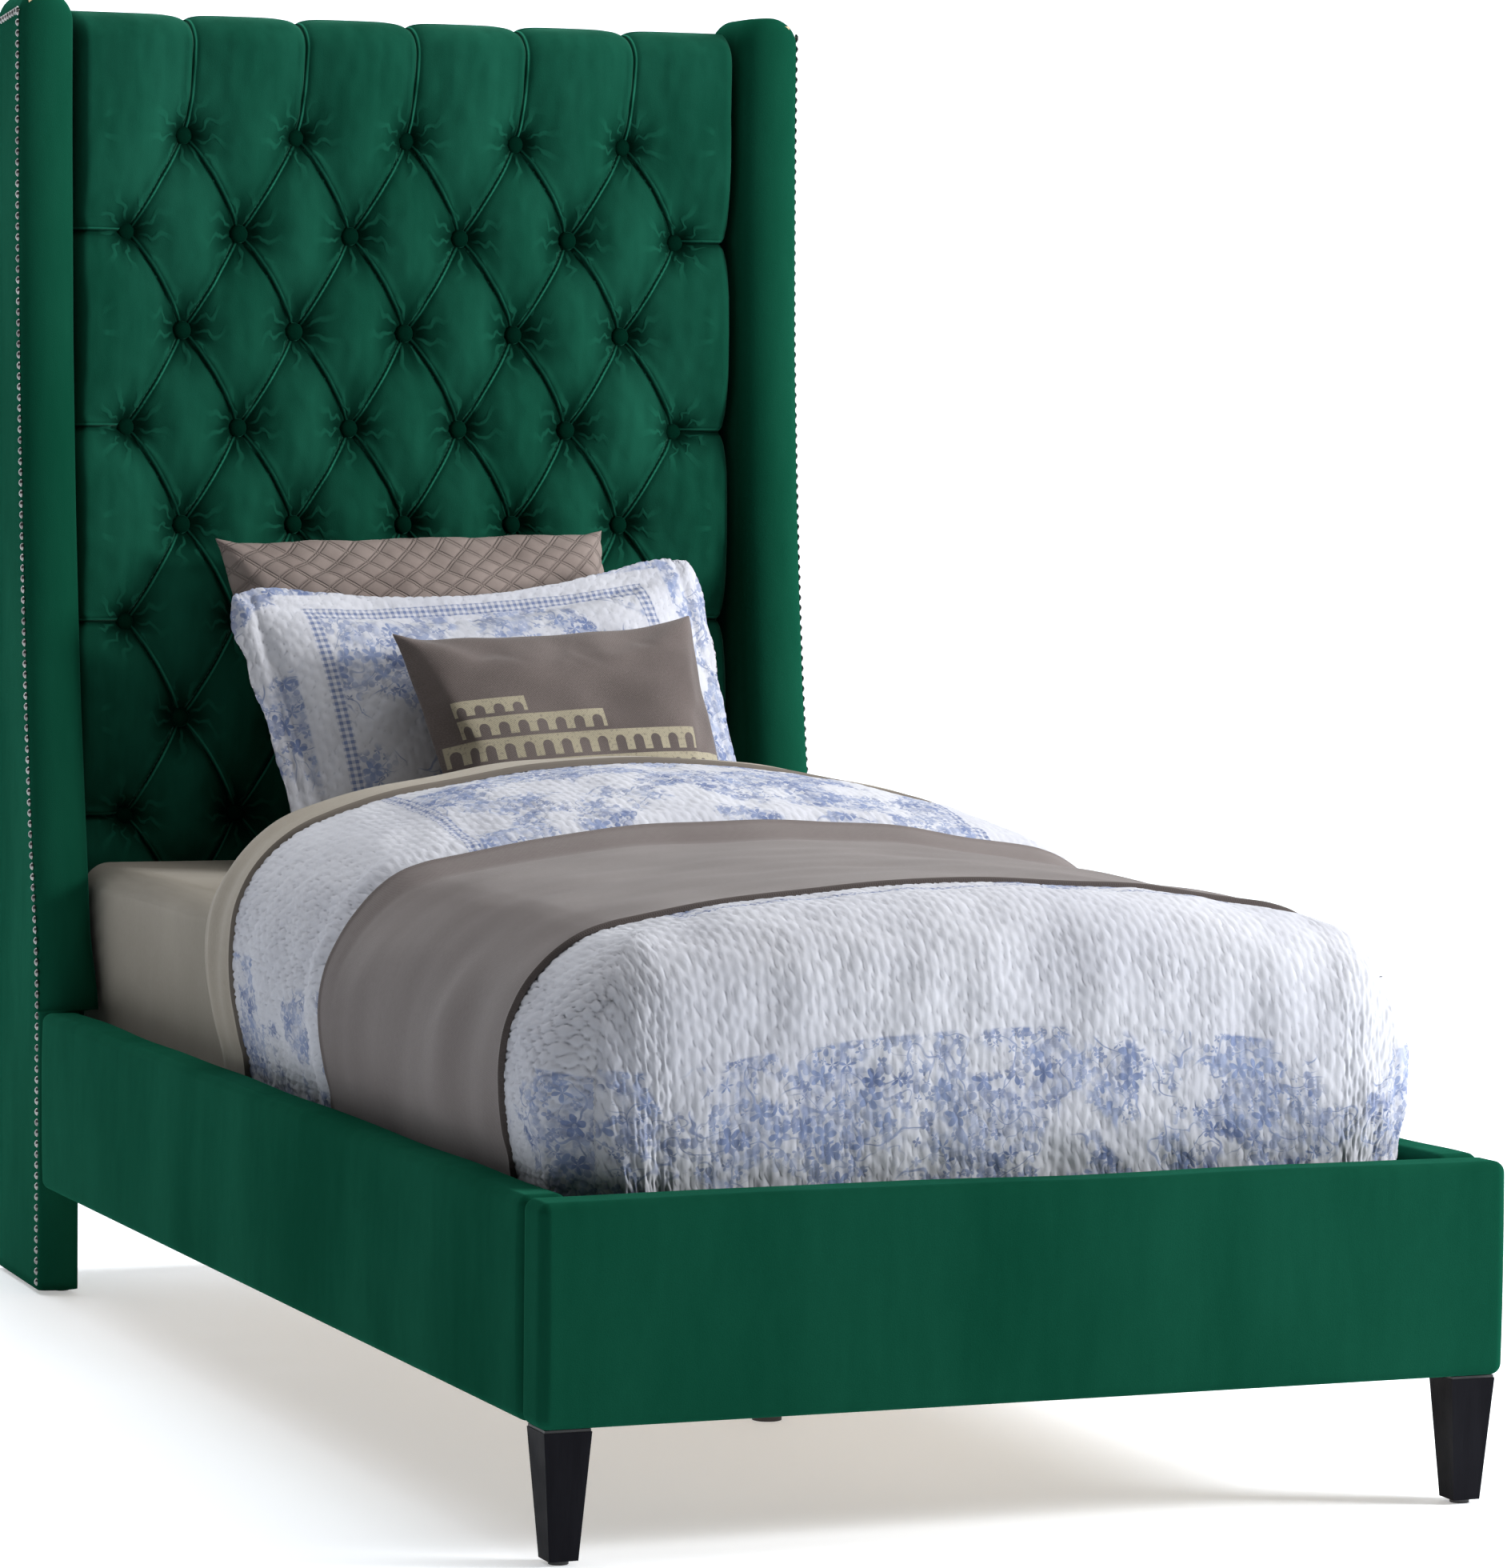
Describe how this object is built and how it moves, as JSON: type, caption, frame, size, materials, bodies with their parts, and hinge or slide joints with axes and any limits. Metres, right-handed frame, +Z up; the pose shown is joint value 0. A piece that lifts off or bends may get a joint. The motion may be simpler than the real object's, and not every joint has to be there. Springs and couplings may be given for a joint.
{
  "type": "upholstered headboard bed",
  "caption": "Wing-back bed with a tall button-tufted velvet headboard, nailhead trim, upholstered rails and tapered legs, dressed with mattress, quilt, throw and pillows.",
  "frame": {"origin": "on the floor, under the middle of the bed's bounding box", "axes": "+Z up, +Y from the foot to the headboard, +X to the right seen from the foot"},
  "size_m": [1.1564, 2.25, 1.775],
  "materials": {
    "velvet_green": "matte",
    "button_velvet": "matte",
    "back_cloth": "matte",
    "pine": "matte",
    "plywood": "matte",
    "leg_black": "satin",
    "steel_black": "satin",
    "zinc_steel": "satin",
    "nail_chrome": "polished",
    "twine": "matte",
    "nylon": "matte",
    "mattress_ticking": "matte",
    "sheet_stone": "matte",
    "comforter_white": "matte",
    "quilt_toile": "matte",
    "throw_taupe": "matte",
    "pillow_taupe_velvet": "matte",
    "sham_toile": "matte",
    "pillow_print": "matte"
  },
  "bodies": {
    "bed_frame": {"beam_hangers": "steel_black", "bracket_bolts": "zinc_steel", "button_ties": "twine", "centre_beam": "pine", "centre_leg_back": "leg_black", "centre_leg_front": "leg_black", "foot_bracket_left": "steel_black", "foot_bracket_right": "steel_black", "footboard_core": "pine", "footboard_cover": "velvet_green", "front_leg_left": "leg_black", "front_leg_right": "leg_black", "head_bracket_left": "steel_black", "head_bracket_right": "steel_black", "headboard_back_cover": "back_cloth", "headboard_board": "plywood", "headboard_rail_bottom": "pine", "headboard_rail_middle": "pine", "headboard_rail_top": "pine", "headboard_stile_left": "pine", "headboard_stile_right": "pine", "leg_bolts": "zinc_steel", "leg_glides": "nylon", "leg_plate_left": "steel_black", "leg_plate_right": "steel_black", "nailheads_left": "nail_chrome", "nailheads_right": "nail_chrome", "side_rail_core_left": "pine", "side_rail_core_right": "pine", "side_rail_cover_left": "velvet_green", "side_rail_cover_right": "velvet_green", "slat_ledge_left": "pine", "slat_ledge_right": "pine", "slat_screws": "zinc_steel", "slats": "pine", "tufted_pad": "velvet_green", "tufting_buttons": "button_velvet", "wing_bolts": "zinc_steel", "wing_glides": "nylon", "wing_leg_left": "pine", "wing_leg_right": "pine", "wing_pad_left": "velvet_green", "wing_pad_right": "velvet_green", "wing_panel_left": "plywood", "wing_panel_right": "plywood", "wing_post_left": "pine", "wing_post_right": "pine"},
    "mattress_set": {"mattress": "mattress_ticking", "fitted_sheet": "sheet_stone", "flat_sheet": "sheet_stone", "comforter": "comforter_white", "quilt": "quilt_toile", "throw": "throw_taupe"},
    "back_pillow": {"pillow_back": "pillow_taupe_velvet"},
    "sham_pillow": {"pillow_sham": "sham_toile"},
    "front_pillow": {"pillow_front": "pillow_print"},
    "front_centre_foot": {"centre_glide_front": "nylon"},
    "back_centre_foot": {"centre_glide_back": "nylon"}
  },
  "joints": [
    {"name": "mattress_lift", "type": "slide", "parent": "bed_frame", "child": "mattress_set", "axis": [0, 0, 1], "range_m": [0, 0.25]},
    {"name": "back_pillow_lift", "type": "slide", "parent": "mattress_set", "child": "back_pillow", "axis": [0, 0, 1], "range_m": [0, 0.3]},
    {"name": "sham_pillow_lift", "type": "slide", "parent": "back_pillow", "child": "sham_pillow", "axis": [0, 0, 1], "range_m": [0, 0.3]},
    {"name": "front_pillow_lift", "type": "slide", "parent": "sham_pillow", "child": "front_pillow", "axis": [0, 0, 1], "range_m": [0, 0.3]},
    {"name": "front_centre_foot_screw", "type": "slide", "parent": "bed_frame", "child": "front_centre_foot", "axis": [0, 0, 1], "range_m": [0, 0.012]},
    {"name": "back_centre_foot_screw", "type": "slide", "parent": "bed_frame", "child": "back_centre_foot", "axis": [0, 0, 1], "range_m": [0, 0.012]}
  ]
}
